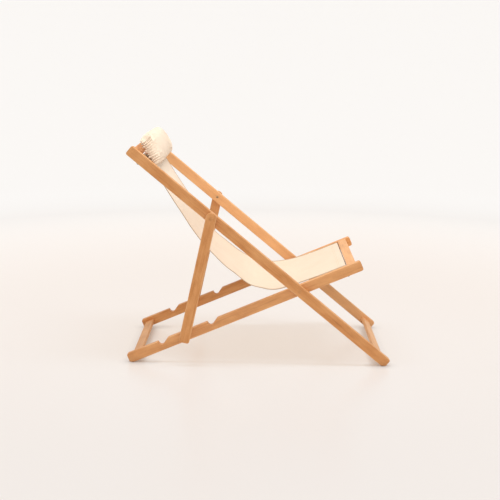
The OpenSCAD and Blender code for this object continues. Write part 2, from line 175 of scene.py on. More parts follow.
def ramp(tree, factor, stops):
    node = add(tree, "ShaderNodeValToRGB", Fac=factor)
    elements = node.color_ramp.elements
    while len(elements) < len(stops):
        elements.new(0.5)
    for element, (position, colour) in zip(elements, stops):
        element.position = position
        element.color = (*colour, 1.0)
    return node.outputs[0]


def mapped(tree, place, **inputs):
    """The place scaled, turned and shifted."""
    return add(tree, "ShaderNodeMapping", Vector=place, **inputs).outputs[0]


def wave_scale(period):
    """The wave texture's scale for bands that far apart. At a scale of 1 it has 20 of them in 2 pi."""
    return 2 * math.pi / (20 * period)


def noise_node(tree, place, scale, detail):
    return add(tree, "ShaderNodeTexNoise", Vector=place, Scale=scale, Detail=detail).outputs["Fac"]


def openness(tree, reach):
    """1 in the open and towards 0 where other surfaces stand within that reach."""
    return add(tree, "ShaderNodeAmbientOcclusion", {"samples": 8}, Distance=reach).outputs["AO"]


def set_relief(tree, shader, height, strength, distance):
    bump = add(tree, "ShaderNodeBump", Height=height, Strength=strength, Distance=distance)
    tree.links.new(bump.outputs[0], shader.inputs["Normal"])


def new_material(name, roughness, specular=0.5):
    material = bpy.data.materials.new(name)
    material.use_nodes = True
    tree = material.node_tree
    shader = tree.nodes["Principled BSDF"]
    shader.inputs["Roughness"].default_value = roughness
    shader.inputs["Specular IOR Level"].default_value = specular
    return material, tree, shader


def dress(node, material):
    """Gives a CAD node one material."""
    slots = nodes[node].data.materials
    slots.clear()
    slots.append(material)


# Wood
RING_PERIOD = 0.0042  # between growth rings
PITH = (0.045, -0.075)  # from the middle of the rings to the middle of each piece
WOOD_DARK = (0.42, 0.150, 0.042)
WOOD_MID = (0.625, 0.258, 0.078)
WOOD_LIGHT = (0.76, 0.375, 0.145)
WORN_EDGE = (0.80, 0.46, 0.225)
PALE_AND_LIT = (0.97, 0.61, 0.32)  # painted light: a lighter tone mixed into pieces whose faces should look more lit
PORE = (0.30, 0.115, 0.04)
ARRIS_FROM, ARRIS_TO = 0.0045, 0.0008  # in from a rail's faces: where its edges' wear starts and is full
SCUFF_HEIGHT = 0.035  # how far over the floor the feet are scuffed
WOOD_RELIEF = 0.0004


def wood(name, rotation, centre, half_size, seed, tone, pale_and_lit):
    """Oiled wood with its grain along the local x axis that rotation turns the frame to.

    centre and half_size are the local y, z middle and half section, for the worn arrises.
    """
    material, tree, shader = new_material(name, 0.5, 0.35)
    object_place = add(tree, "ShaderNodeTexCoord").outputs["Object"]
    local = mapped(tree, object_place, Rotation=rotation)
    seed_shift = (seed * 3.1, seed * 5.3, seed * 2.7)

    def grain(along_scale, across_scale, detail):
        """Noise drawn out along the grain."""
        place = mapped(tree, local, Scale=(along_scale, across_scale, across_scale), Location=seed_shift)
        return noise_node(tree, place, 1.0, detail)

    drift = 0.035 + 0.01 * math.sin(seed)
    ring_place = mapped(
        tree,
        local,
        Location=(seed * 1.7, PITH[0] - centre[0], PITH[1] - centre[1]),
        Rotation=(0.0, drift, 0.6 * drift),
        Scale=(0.16, 1.0, 1.0),
    )
    rings = add(
        tree,
        "ShaderNodeTexWave",
        {"wave_type": "RINGS", "rings_direction": "X", "wave_profile": "SAW"},
        Vector=ring_place,
        Scale=wave_scale(RING_PERIOD),
        Distortion=5.5,
        Detail=2.5,
        Detail__Scale=0.22,
        Detail__Roughness=0.55,
    ).outputs["Fac"]
    late_wood = map_range(tree, rings, 0.55, 0.97)
    mottle = grain(12, 38, 3.0)
    streak = map_range(tree, grain(9, 210, 3.0), 0.45, 0.75)
    fibre = grain(55, 1500, 4.0)
    pores = map_range(tree, grain(260, 1900, 1.0), 0.64, 0.74)

    shade = math_node(tree, "MULTIPLY_ADD", mottle, 0.95, 0.08)
    shade = math_node(tree, "SUBTRACT", shade, math_node(tree, "MULTIPLY", late_wood, 0.22))
    shade = math_node(tree, "SUBTRACT", shade, math_node(tree, "MULTIPLY", streak, 0.24))
    shade = math_node(tree, "ADD", shade, math_node(tree, "MULTIPLY", fibre, 0.3), clamp=True)
    # painted light: the paler tone lifts each piece by its share
    toned = [
        tuple(min(1.0, c * tone * (1 - pale_and_lit) + p * pale_and_lit) for c, p in zip(colour, PALE_AND_LIT))
        for colour in (WOOD_DARK, WOOD_MID, WOOD_LIGHT)
    ]
    colour = ramp(tree, shade, list(zip((0.12, 0.5, 0.88), toned)))
    colour = mix_colour(tree, math_node(tree, "MULTIPLY", pores, 0.4), colour, PORE)

    split = add(tree, "ShaderNodeSeparateXYZ", Vector=local)
    near_faces = []
    for axis, middle, half in zip(("Y", "Z"), centre, half_size):
        off_middle = math_node(tree, "ABSOLUTE", math_node(tree, "SUBTRACT", split.outputs[axis], middle))
        near_faces.append(map_range(tree, off_middle, half - ARRIS_FROM, half - ARRIS_TO))
    arris = math_node(tree, "MULTIPLY", *near_faces)
    worn = math_node(tree, "MULTIPLY", arris, map_range(tree, mottle, 0.3, 0.65, 0.15, 0.75))
    colour = mix_colour(tree, worn, colour, WORN_EDGE)
    height_over_floor = add(tree, "ShaderNodeSeparateXYZ", Vector=object_place).outputs["Z"]
    low = map_range(tree, height_over_floor, SCUFF_HEIGHT, 0.0)
    scuffed = math_node(tree, "MULTIPLY", low, map_range(tree, fibre, 0.35, 0.6, 0.1, 0.55))
    tree.links.new(mix_colour(tree, scuffed, colour, PORE), shader.inputs["Base Color"])

    rough = math_node(tree, "MULTIPLY_ADD", fibre, 0.22, 0.36)
    rough = math_node(tree, "ADD", rough, math_node(tree, "MULTIPLY", pores, 0.15))
    tree.links.new(rough, shader.inputs["Roughness"])
    relief = math_node(tree, "SUBTRACT", fibre, math_node(tree, "MULTIPLY", pores, 0.7))
    relief = math_node(tree, "SUBTRACT", relief, math_node(tree, "MULTIPLY", late_wood, 0.25))
    set_relief(tree, shader, relief, 0.35, WOOD_RELIEF)
    return material


RAIL_HALF = (0.010, 0.020)
BAR_HALF = (0.05, 0.05)  # beyond any crossbar, so that it gets no worn arris
RAIL_LINES = {  # the tilt of each frame and the pivot that its rails' middle lines run through
    "seat_rail": (SEAT_TILT, MAIN_PIVOT),
    "back_rail": (BACK_TILT, MAIN_PIVOT),
    "prop_leg": (PROP_TILT, PROP_PIVOT),
}
RAIL_TONE_AND_LIGHT = {  # each rail's strength of colour and share of the paler tone, which is painted light where a rail should look more lit
    "seat_rail_right": (1.0, 0.12),
    "seat_rail_left": (1.1, 0.0),
    "back_rail_right": (0.97, 0.0),
    "back_rail_left": (1.0, 0.36),
    "prop_leg_right": (0.97, 0.0),
    "prop_leg_left": (0.97, 0.2),
}
BAR_TONE_AND_LIGHT = {  # the same for what lies across the chair; the slats' paler share is painted light
    "head_slat": (1.04, 0.1),
    "foot_slat": (1.04, 0.4),
    "seat_front_slat": (1.04, 0.32),
    "seat_rear_slat": (1.04, 0.25),
    "head_rod": (0.85, 0.0),
    "front_rod": (0.85, 0.0),
    "prop_bar": (0.98, 0.0),
    "main_pivot_plugs": (0.88, 0.0),
    "prop_pivot_plugs": (0.88, 0.0),
}


def dress_rails():
    seed = 1.0
    for name, (tone, pale_and_lit) in RAIL_TONE_AND_LIGHT.items():
        tilt, pivot = RAIL_LINES[name.rsplit("_", 1)[0]]
        middle = Matrix.Rotation(tilt, 3, "Y") @ pivot
        centre = (box_centre(name).y, middle.z)
        dress(name, wood(f"wood_{name}", (0.0, tilt, 0.0), centre, RAIL_HALF, seed, tone, pale_and_lit))
        seed += 1.37


def dress_crossbars():
    across = (0.0, 0.0, -math.pi / 2)
    seed = 12.0
    for name, (tone, pale_and_lit) in BAR_TONE_AND_LIGHT.items():
        middle = box_centre(name)
        dress(name, wood(f"wood_{name}", across, (-middle.x, middle.z), BAR_HALF, seed, tone, pale_and_lit))
        seed += 2.11


# Steel and rubber
STEEL_STAIN = (0.10, 0.06, 0.035)
STEEL_RELIEF = 0.0002
RUBBER = (0.035, 0.024, 0.018)
RUBBER_DUST = (0.11, 0.085, 0.065)
RUBBER_RELIEF = 0.0003


def steel(name, colour, seed, metallic):
    material, tree, shader = new_material(name, 0.4)
    place = add(tree, "ShaderNodeTexCoord").outputs["Object"]
    brushed = noise_node(tree, mapped(tree, place, Scale=(900, 120, 900), Location=(seed, 0, 0)), 1.0, 3.0)
    stain = map_range(tree, noise_node(tree, place, 260.0, 4.0), 0.45, 0.7)
    tree.links.new(mix_colour(tree, stain, colour, STEEL_STAIN), shader.inputs["Base Color"])
    shader.inputs["Metallic"].default_value = metallic
    tree.links.new(map_range(tree, brushed, 0.2, 0.8, 0.28, 0.6), shader.inputs["Roughness"])
    set_relief(tree, shader, brushed, 0.2, STEEL_RELIEF)
    return material


def rubber():
    material, tree, shader = new_material("glide_rubber", 0.75, 0.3)
    place = add(tree, "ShaderNodeTexCoord").outputs["Object"]
    dust = noise_node(tree, place, 420.0, 4.0)
    tint = mix_colour(tree, map_range(tree, dust, 0.5, 0.75), RUBBER, RUBBER_DUST)
    tree.links.new(tint, shader.inputs["Base Color"])
    set_relief(tree, shader, dust, 0.3, RUBBER_RELIEF)
    return material


def dress_hardware():
    black = steel("black_steel", (0.02, 0.014, 0.01), 1.0, 0.1)
    brown = steel("brown_steel", (0.62, 0.38, 0.2), 3.0, 0.1)
    zinc = steel("zinc_steel", (0.36, 0.33, 0.29), 2.0, 0.9)
    glide = rubber()
    finishes = {
        "head_rod_screws": black,
        "front_rod_screws": black,
        "main_pivot_sleeve_nuts": brown,
        "prop_pivot_sleeve_nuts": brown,
        "main_pivot_bolts": zinc,
        "prop_pivot_bolts": zinc,
        "main_pivot_washers": zinc,
        "prop_pivot_washers": zinc,
        "front_foot_glides": glide,
        "rear_foot_glides": glide,
    }
    for name, finish in finishes.items():
        dress(name, finish)


dress_rails()
dress_crossbars()
dress_hardware()


# Canvas material
CANVAS = (0.87, 0.705, 0.55)
CANVAS_SHADE = (0.765, 0.605, 0.442)
# painted shade of the side hems' rims
CANVAS_EDGE_SHADE = (0.53, 0.395, 0.26)
CANVAS_PAINTED_LIGHT = (0.99, 0.86, 0.71)  # painted light on the cloth below the headrest, lifting the cushion's cast shadow there
PAINTED_LIGHT_SHARE = 0.85
PAINTED_LIGHT_FADE = 0.20  # length over which that painted light fades into the canvas colour
# painted shade in the depth of the pillow's folds
CREASE_SHADE = (0.44, 0.27, 0.15)
CREASE_SHADE_REACH = 0.014  # how near the folds' walls must be for painted shade to darken them
GROOVE_SHADE = (0.13, 0.068, 0.035)  # painted shade: the dark slit between the front pocket and the slat before it
GROOVE_SHADE_FADE = 0.002
THREAD_PITCH = 0.0011  # between neighbouring yarns
EDGE_SHADE_WIDTH = 0.016  # of the cloth's darker rim along its side hems, painted shade of the hems' edges
WEAVE_RELIEF = 0.00035
THREAD_DARK = (0.60, 0.44, 0.27)
THREAD_LIGHT = (0.80, 0.63, 0.43)
THREAD_RELIEF = 0.0002


def woven(tree, place):
    """How far the yarn on top stands out of the cloth, in a plain weave of two crossing sets."""

    def yarns(direction):
        return add(
            tree,
            "ShaderNodeTexWave",
            {"wave_type": "BANDS", "bands_direction": direction, "wave_profile": "SIN"},
            Vector=place,
            Scale=wave_scale(THREAD_PITCH),
            Distortion=0.5,
            Detail=1.0,
            Detail__Scale=0.4,
        ).outputs["Fac"]

    checker = add(
        tree,
        "ShaderNodeTexChecker",
        Vector=place,
        Scale=1 / THREAD_PITCH,
        Color1=(1, 1, 1, 1),
        Color2=(0, 0, 0, 1),
    ).outputs["Fac"]
    mix = add(tree, "ShaderNodeMix", {"data_type": "FLOAT"}, Factor=checker, A=yarns("X"), B=yarns("Y"))
    return mix.outputs[0]


def canvas_material(
    name,
    place_kind,
    seed,
    rotation=(0.0, 0.0, 0.0),
    half_width=None,
    painted_light_to=None,
    groove_shade_at=None,
    shade_creases=False,
):
    """Plain-woven cotton. Its yarns follow x and y of the UV map or of the turned frame, in metres.

    half_width is given where the cloth has a darker rim of painted shade at that distance to both sides,
    painted_light_to where it has painted light up to that place of its length, and groove_shade_at where
    it has painted shade, a dark line across, at that place. shade_creases paints shade into the depth of
    its folds.
    """
    material, tree, shader = new_material(name, 0.85, 0.2)
    place = mapped(tree, add(tree, "ShaderNodeTexCoord").outputs[place_kind], Rotation=rotation)
    axes = add(tree, "ShaderNodeSeparateXYZ", Vector=place).outputs
    weave = woven(tree, place)
    slub = noise_node(tree, mapped(tree, place, Scale=(700, 45, 200), Location=(seed, seed, 0)), 1.0, 3.0)
    cloudy = noise_node(tree, mapped(tree, place, Location=(seed, 0, 0)), 11.0, 3.0)
    # painted shade: the weave's hollows between the yarns are darker; the cloudy and slubby parts are the
    # yarn's own tone
    tone = math_node(tree, "MULTIPLY", map_range(tree, weave, 0.5, 0.0), 0.35)
    tone = math_node(tree, "ADD", tone, map_range(tree, cloudy, 0.35, 0.75, 0.0, 0.3))
    tone = math_node(tree, "ADD", tone, map_range(tree, slub, 0.5, 0.8, 0.0, 0.35), clamp=True)
    colour = mix_colour(tree, tone, CANVAS, CANVAS_SHADE)
    # painted light: lighter cloth up to painted_light_to, against the cushion's shadow
    if painted_light_to:
        painted_light = map_range(tree, axes["Y"], painted_light_to, painted_light_to - PAINTED_LIGHT_FADE, 0.0, PAINTED_LIGHT_SHARE)
        colour = mix_colour(tree, painted_light, colour, CANVAS_PAINTED_LIGHT)
    # painted shade: a darker rim along both side hems
    if half_width:
        sideways = math_node(tree, "ABSOLUTE", axes["X"])
        rim = map_range(tree, sideways, half_width - EDGE_SHADE_WIDTH, half_width - EDGE_SHADE_WIDTH / 3)
        colour = mix_colour(tree, rim, colour, CANVAS_EDGE_SHADE)
    # painted shade: a dark line across the cloth at the slit before the front slat
    if groove_shade_at:
        groove_shade = map_range(tree, axes["Y"], groove_shade_at, groove_shade_at + GROOVE_SHADE_FADE)
        colour = mix_colour(tree, groove_shade, colour, GROOVE_SHADE)
    # painted shade: the cloth darkens where the walls of its folds close in
    if shade_creases:
        colour = mix_colour(tree, map_range(tree, openness(tree, CREASE_SHADE_REACH), 0.3, 0.8), CREASE_SHADE, colour)
    tree.links.new(colour, shader.inputs["Base Color"])
    shader.inputs["Sheen Weight"].default_value = 0.12
    shader.inputs["Sheen Roughness"].default_value = 0.6
    tree.links.new(map_range(tree, slub, 0.3, 0.7, 0.78, 0.95), shader.inputs["Roughness"])
    relief = math_node(tree, "ADD", weave, math_node(tree, "MULTIPLY", slub, 0.5))
    set_relief(tree, shader, relief, 0.45, WEAVE_RELIEF)
    return material


def thread_material():
    material, tree, shader = new_material("cotton_thread", 0.8, 0.2)
    twist = add(
        tree,
        "ShaderNodeTexWave",
        {"wave_type": "BANDS", "bands_direction": "DIAGONAL"},
        Vector=add(tree, "ShaderNodeTexCoord").outputs["Object"],
        Scale=900.0,
    ).outputs["Fac"]
    tint = ramp(tree, twist, [(0.0, THREAD_DARK), (1.0, THREAD_LIGHT)])
    tree.links.new(tint, shader.inputs["Base Color"])
    set_relief(tree, shader, twist, 0.4, THREAD_RELIEF)
    return material


THREAD = thread_material()


def link_mesh(name, points, faces, material):
    mesh = bpy.data.meshes.new(name)
    mesh.from_pydata([tuple(p) for p in points], [], faces)
    mesh.update()
    mesh.materials.append(material)
    mesh.polygons.foreach_set("use_smooth", [True] * len(mesh.polygons))
    piece = bpy.data.objects.new(name, mesh)
    bpy.context.scene.collection.objects.link(piece)
    return piece


# Sling
SLING_HALF = 0.230  # half the canvas's width
CANVAS_T = 0.0011  # thickness of the single cloth
SIDE_HEM = 0.013  # width of the hems along both sides
SIDE_HEM_EXTRA = 0.0004  # how much thicker each face is there
ROD_PATH_R = 0.00705  # from a rod's axis to the middle of the cloth round it
HEM_DROP = 0.0018  # the sewn-down hem's middle lies this far under the cloth's
SEAM_AT = 0.016  # from a rod's axis to the seam of its pocket
HEM_TAIL = 0.014  # width of the sewn-down hem past that seam
HEAD_SLOPE = BACK_TILT - math.radians(20.0)  # the cloth leaves the head rod steeper than the rails lie
FRONT_SLOPE = SEAT_TILT
PAINTED_LIGHT_LENGTH = 0.30  # how far below the head rod the cloth has painted light
GROOVE_SHADE_PAST_ROD = 0.6 * ROD_PATH_R  # along the cloth, from the front rod's top to the painted shade of the slit
HEAD_PULL = 1.0  # share of the way from the head rod to where the two end directions meet, for the curve
FRONT_PULL = 0.78  # the same from the front rod
HEM_STEPS = 4
TURN_STEPS = 28
HANG_STEPS = 170
ACROSS_STEPS = 72


def sling_path():
    """Middle line of the cloth in the side plane, from the head hem's end to the front hem's end.

    Returns the points and, for each, how much of the free-hanging movement it takes.
    """
    head, front = np.array(HEAD_ROD), np.array(FRONT_ROD)
    head[1] = front[1] = 0.0
    leave = head + ROD_PATH_R * above(HEAD_SLOPE)
    reach = front + ROD_PATH_R * above(FRONT_SLOPE)
    down, up = along(HEAD_SLOPE), along(FRONT_SLOPE)
    gap = reach - leave
    meet = leave + down * (gap[0] * up[2] - gap[2] * up[0]) / (down[0] * up[2] - down[2] * up[0])
    handles = leave + HEAD_PULL * (meet - leave), reach + FRONT_PULL * (meet - reach)
    under = ROD_PATH_R - HEM_DROP
    wrap = math.atan2(SEAM_AT, under) + math.acos(ROD_PATH_R / math.hypot(SEAM_AT, under))
    points, freedom = [], []

    def put(point, free=0.0):
        points.append(point)
        freedom.append(free)

    for step in range(HEM_STEPS + 1):
        put(head + under * above(HEAD_SLOPE) + (SEAM_AT + HEM_TAIL * (1 - step / HEM_STEPS)) * down)
    for step in range(TURN_STEPS):
        past = wrap + (2 * math.pi - wrap) * step / TURN_STEPS
        put(head + ROD_PATH_R * above(HEAD_SLOPE - past))
    for step in range(HANG_STEPS + 1):
        u = step / HANG_STEPS
        v = 1 - u
        put(
            v**3 * leave + 3 * v * v * u * handles[0] + 3 * v * u * u * handles[1] + u**3 * reach,
            math.sin(math.pi * u) ** 0.8,
        )
    for step in range(1, TURN_STEPS + 1):
        past = (2 * math.pi - wrap) * step / TURN_STEPS
        put(front + ROD_PATH_R * above(FRONT_SLOPE - past))
    for step in range(HEM_STEPS + 1):
        put(front + under * above(FRONT_SLOPE) - (SEAM_AT + HEM_TAIL * step / HEM_STEPS) * up)
    return np.array(points), np.array(freedom)


def lengths_to(points):
    """The length of a line of points up to each of them."""
    return np.concatenate([[0.0], np.cumsum(np.linalg.norm(np.diff(points, axis=0), axis=1))])


def side_normals(points):
    """The normal of a line in the side plane at each of its points, upwards where it runs forwards."""
    tangents = np.gradient(points, axis=0)
    tangents /= np.linalg.norm(tangents, axis=1)[:, None]
    return np.stack([-tangents[:, 2], np.zeros(len(points)), tangents[:, 0]], axis=1)


PATH, FREEDOM = sling_path()
RUN = lengths_to(PATH)
NORMALS = side_normals(PATH)
HANG_FROM = HEM_STEPS + 1 + TURN_STEPS  # index of the point where the cloth leaves the head rod
HANG_TO = HANG_FROM + HANG_STEPS  # and of the one where it meets the front rod

BELLY_SAG = 0.006  # the middle of the cloth hangs this much lower than its sides
TWIST_RISE = 0.0045  # how far the left side of the seat hangs higher and the right one lower
TWIST_FROM = 0.3  # share of the cloth's hanging length over which that sets in
HEM_RISE = 0.002  # the hemmed edges stand up to this much above the cloth beside them
HEM_RISE_FROM = 0.8  # share of the half width from which they rise
# Heights of the soft folds down from the head hem and up from the front one, and of two sizes of ripple
BACK_FOLDS, SEAT_FOLDS = 0.0011, 0.0010
WIDE_RIPPLE, FINE_RIPPLE = 0.0016, 0.0007
# Where each side of the cloth leaves the even curve: its place from the head to the front, width and lift
RIGHT_WAVES = (
    (0.14, 0.06, 0.004),
    (0.31, 0.07, 0.005),
    (0.42, 0.06, 0.006),
    (0.59, 0.05, 0.004),
    (0.63, 0.15, -0.0135),
)
LEFT_WAVES = ((0.27, 0.07, -0.014),)
WAIST = 0.006  # share of its width that the hanging cloth loses
HEM_STEP = 0.0003  # width of the step up to the side hem
EDGE_ROUND = 0.0008  # width over which the cloth thins to its edge
EDGE_SHARE = 0.45  # share of the thickness that is left at the edge


def cloth_lift(i, y):
    """How far the cloth at path point i and place y stands off its middle line."""
    free, share = FREEDOM[i], y / SLING_HALF
    if free <= 0:
        return 0.0
    run = RUN[i] - RUN[HANG_FROM]
    whole = RUN[HANG_TO] - RUN[HANG_FROM]
    u = run / whole
    lift = -BELLY_SAG * (1 - share * share) * free
    lift += TWIST_RISE * share * math.sin(math.pi * min(1.0, 1.15 * u)) ** 2 * min(1.0, u / TWIST_FROM)
    way = (i - HANG_FROM) / HANG_STEPS
    for weight, waves in (((1 - share) / 2, RIGHT_WAVES), ((1 + share) / 2, LEFT_WAVES)):
        for at, width, rise in waves:
            lift += weight * rise * math.exp(-(((way - at) / width) ** 2)) * free
    lift += BACK_FOLDS * free * math.sin(23 * share + 2.2 * math.sin(5 * u)) * math.exp(-4.0 * u)
    lift += SEAT_FOLDS * free * math.sin(17 * share - 1.4) * math.exp(-5.0 * (1 - u))
    lift += WIDE_RIPPLE * free * noise.noise(Vector((3.1 * run / 0.3, 2.3 * share, 0.7)))
    lift += FINE_RIPPLE * free * noise.noise(Vector((run / 0.035, 4.5 * share, 5.7)))
    edge = max(0.0, abs(share) - HEM_RISE_FROM) / (1 - HEM_RISE_FROM)
    lift += HEM_RISE * free * edge * (0.5 + 0.5 * u)
    return lift


def cloth_point(i, y, side):
    """A point of the cloth; side is 1 on its upper face and -1 on its lower one."""
    narrow = 1.0 - WAIST * FREEDOM[i]
    thick = CANVAS_T / 2
    if abs(y) > SLING_HALF - SIDE_HEM:
        thick += SIDE_HEM_EXTRA
    point = PATH[i] + NORMALS[i] * (cloth_lift(i, y) + side * thick)
    return np.array([point[0], y * narrow, point[2]])


def across_places():
    """Where the cloth's columns lie, with close pairs at the hems' steps."""
    inner = SLING_HALF - SIDE_HEM
    middle = np.linspace(-inner, inner, ACROSS_STEPS + 1)
    edge = [inner + HEM_STEP, SLING_HALF - SIDE_HEM / 2, SLING_HALF - EDGE_ROUND, SLING_HALF]
    return np.concatenate([[-e for e in reversed(edge)], middle, edge])


def make_sling():
    places = across_places()
    rows, columns = len(PATH), len(places)
    points, uvs = [], []
    for side in (1.0, -1.0):
        for i in range(rows):
            for y in places:
                rim = EDGE_SHARE if abs(y) >= SLING_HALF else 1.0
                points.append(cloth_point(i, y, side * rim))
                uvs.append((y, RUN[i]))
    sheet = rows * columns

    def at(side, i, j):
        return side * sheet + i * columns + j

    faces = []
    for i in range(rows - 1):
        for j in range(columns - 1):
            faces.append((at(0, i, j), at(0, i + 1, j), at(0, i + 1, j + 1), at(0, i, j + 1)))
            faces.append((at(1, i, j), at(1, i, j + 1), at(1, i + 1, j + 1), at(1, i + 1, j)))
        for j, turn in ((0, False), (columns - 1, True)):
            rim = (at(0, i, j), at(1, i, j), at(1, i + 1, j), at(0, i + 1, j))
            faces.append(tuple(reversed(rim)) if turn else rim)
    for j in range(columns - 1):
        for i, turn in ((0, True), (rows - 1, False)):
            rim = (at(0, i, j), at(1, i, j), at(1, i, j + 1), at(0, i, j + 1))
            faces.append(tuple(reversed(rim)) if turn else rim)
    canvas = canvas_material(
        "sling_canvas",
        "UV",
        seed=3.0,
        half_width=SLING_HALF,
        painted_light_to=float(RUN[HANG_FROM]) + PAINTED_LIGHT_LENGTH,
        groove_shade_at=float(RUN[HANG_TO]) + GROOVE_SHADE_PAST_ROD,
    )
    sling = link_mesh("canvas_sling", points, faces, canvas)
    layer = sling.data.uv_layers.new(name="cloth")
    for loop in sling.data.loops:
        layer.data[loop.index].uv = uvs[loop.vertex_index]
    fix = bmesh.new()
    fix.from_mesh(sling.data)
    bmesh.ops.recalc_face_normals(fix, faces=fix.faces)
    fix.to_mesh(sling.data)
    fix.free()
    return sling


# Stitching
STITCH = 0.0036  # length of a stitch
STITCH_GAP = 0.0013
STITCH_FROM = 0.001  # from the start of a seam to its first stitch
STITCH_SHAPE = (  # share of the length, then thickness and depth in thread radii
    (0.0, 0.25, 0.9),
    (0.14, 0.9, 0.1),
    (0.5, 1.0, -0.35),
    (0.86, 0.9, 0.1),
    (1.0, 0.25, 0.9),
)
LOOK_AHEAD = 0.0004  # over which the direction of a stitch is taken
THREAD_R = 0.00038
THREAD_SIDES = 6
SIDE_SEAM_IN = 0.0105  # from the cloth's edge to the stitching of its side hem
POCKET_SEAMS = (SEAM_AT + 0.001, SEAM_AT + HEM_TAIL - 0.003)  # from a rod's axis to its pocket's stitching
SEAM_END = 0.002  # that stitching stops this far before the cloth's edge
SEAM_POINTS = 90
ROWS_LEFT = 4  # rows of the cloth beside each rod that the side seams leave out


def stitch_ring(sample, at, girth, sunk):
    """A ring of points round the thread at a place along its seam."""
    place, normal = sample(at)
    direction = sample(at + LOOK_AHEAD)[0] - place
    direction /= np.linalg.norm(direction)
    normal = normal - direction * normal.dot(direction)
    normal /= np.linalg.norm(normal)
    sideways = np.cross(direction, normal)
    middle = place - normal * sunk * THREAD_R
    angles = [2 * math.pi * k / THREAD_SIDES for k in range(THREAD_SIDES)]
    return [middle + girth * THREAD_R * (math.cos(a) * sideways + math.sin(a) * normal) for a in angles]


def stitch_mesh(name, lines):
    """One mesh of short sewn stitches along lines of (point, normal)."""
    points, faces = [], []
    for line in lines:
        places = np.array([p for p, _ in line])
        normals = np.array([n for _, n in line])
        run = lengths_to(places)

        def sample(at):
            return (
                np.array([np.interp(at, run, places[:, k]) for k in range(3)]),
                np.array([np.interp(at, run, normals[:, k]) for k in range(3)]),
            )

        for start in np.arange(STITCH_FROM, run[-1] - STITCH, STITCH + STITCH_GAP):
            rings = []
            for t, girth, sunk in STITCH_SHAPE:
                rings.append(len(points))
                points += stitch_ring(sample, start + STITCH * t, girth, sunk)
            for a, b in zip(rings, rings[1:]):
                for k in range(THREAD_SIDES):
                    after = (k + 1) % THREAD_SIDES
                    faces.append((a + k, a + after, b + after, b + k))
            faces.append(tuple(rings[0] + k for k in reversed(range(THREAD_SIDES))))
            faces.append(tuple(rings[-1] + k for k in range(THREAD_SIDES)))
    return link_mesh(name, points, faces, THREAD)


def sling_seams():
    """Lines of (point, normal): along both side hems, above and below, and across both pockets."""
    lines = []
    for y in (-SLING_HALF + SIDE_SEAM_IN, SLING_HALF - SIDE_SEAM_IN):
        for side in (1.0, -1.0):
            rows = range(HANG_FROM + ROWS_LEFT, HANG_TO - ROWS_LEFT + 1)
            lines.append([(cloth_point(i, y, side), NORMALS[i] * side) for i in rows])
    seam_rows = []
    for reach in POCKET_SEAMS:
        seam_rows.append(int(np.argmin(abs(RUN - (RUN[HANG_FROM] + reach)))))
        seam_rows.append(int(np.argmin(abs(RUN - (RUN[HANG_TO] - reach)))))
    last = len(PATH) - 1
    seam_rows += [1, HEM_STEPS, last - HEM_STEPS, last - 1]
    places = np.linspace(-SLING_HALF + SEAM_END, SLING_HALF - SEAM_END, SEAM_POINTS)
    for row in seam_rows:
        lines.append([(cloth_point(row, y, 1.0), NORMALS[row]) for y in places])
    return lines


sling = make_sling()
seams = stitch_mesh("sling_stitching", sling_seams())
for piece in (sling, seams):
    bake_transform(piece)
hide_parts("sling")


# Headrest pillow
PILLOW_LENGTH = 0.130  # along the canvas
PILLOW_HEIGHT = 0.062  # over the canvas, at its crown
PILLOW_HALF = 0.228  # half of its length across the chair
PILLOW_UP = 0.004  # how far its middle lies above the head rod
PILLOW_SIT = 0.31  # share of the height that lies under the seam across each end
PILLOW_TAPER = 0.17  # share of the width that the right end loses, and the left one half of it
SEAM_HEIGHT = PILLOW_HEIGHT * PILLOW_SIT + 0.0014  # of those seams over the canvas
SQUARED_ALONG, SQUARED_OUT = 0.8, 0.9  # powers below 1 that square off the round section
SLACK = 0.985  # size of the cover before it is blown up
RING = 144  # points round the cover
STATIONS = 110  # rings across the chair
LAST_RING = 0.985  # keeps the outermost rings a little short of the ends
SIM_FRAMES = 16
SIM_STEPS = 6  # in each frame
PRESSURE = 4.0
HELD_FROM = 0.97  # share of the half length past which the cover is held while it swells
GIVE = 0.006  # share by which the cloth is longer than the slack cover
MOST_SWELL = 0.004  # the most that any point may move
PLEATS = 12  # on each face of each end
PLEAT_DEPTH = 0.0055
PLEATS_FROM = 0.4  # share of the half length within which there are none
PLEAT_START, START_SPREAD = 0.58, 0.22  # the same share where they start, and how much that varies
PLEAT_VALLEY = 0.62  # how far their valleys lie under the cover, as a share of their depth
UPPER_SHARE, UNDER_SHARE = 0.4, 1.4  # how deep they are on the upper face and on the underside
LEFT_SHARE = 0.35  # how deep they are at the left end, against the right one
GATHER_SHARE, GATHER_FROM = 0.9, 0.86  # how much deeper they get towards the very end, and from where
TUCK_DEPTH = 0.018  # the deep fold behind the head corner of the right end
TUCK_AT = math.radians(143)  # its place round the cushion, from the edge towards the seat over the crown
TUCK_WIDTH = math.radians(16)
TUCK_IN = 0.89  # its place from the middle of the cushion, as a share of its half length
TUCK_LENGTH = 0.04
CORNER_RISE = 0.002  # how far that corner itself stands out
CORNER_WIDTH = 0.45  # in radians round the cushion
CORNER_FROM = 0.93  # share of the half length where it begins
DIMPLES = 0.0012  # height of the cover's soft unevenness
DIMPLES_A_METRE = 24
CLEAR_OF_CANVAS = 0.0012
END_SINK = 0.014  # how far the underside of the right end is drawn down to the canvas
SINK_FROM = 0.72  # share of the half length where that begins


def pillow_frame():
    """Places the pillow's own axes, with x down along the canvas and z out of it."""
    origin = np.array(HEAD_ROD) + ROD_PATH_R * above(HEAD_SLOPE)
    turn = np.stack([along(HEAD_SLOPE), np.array([0.0, 1.0, 0.0]), above(HEAD_SLOPE)], axis=1)
    return Vector((origin[0], 0.0, origin[2])), Matrix(turn.tolist())


def keep_sign(value, power):
    return math.copysign(abs(value) ** power, value)


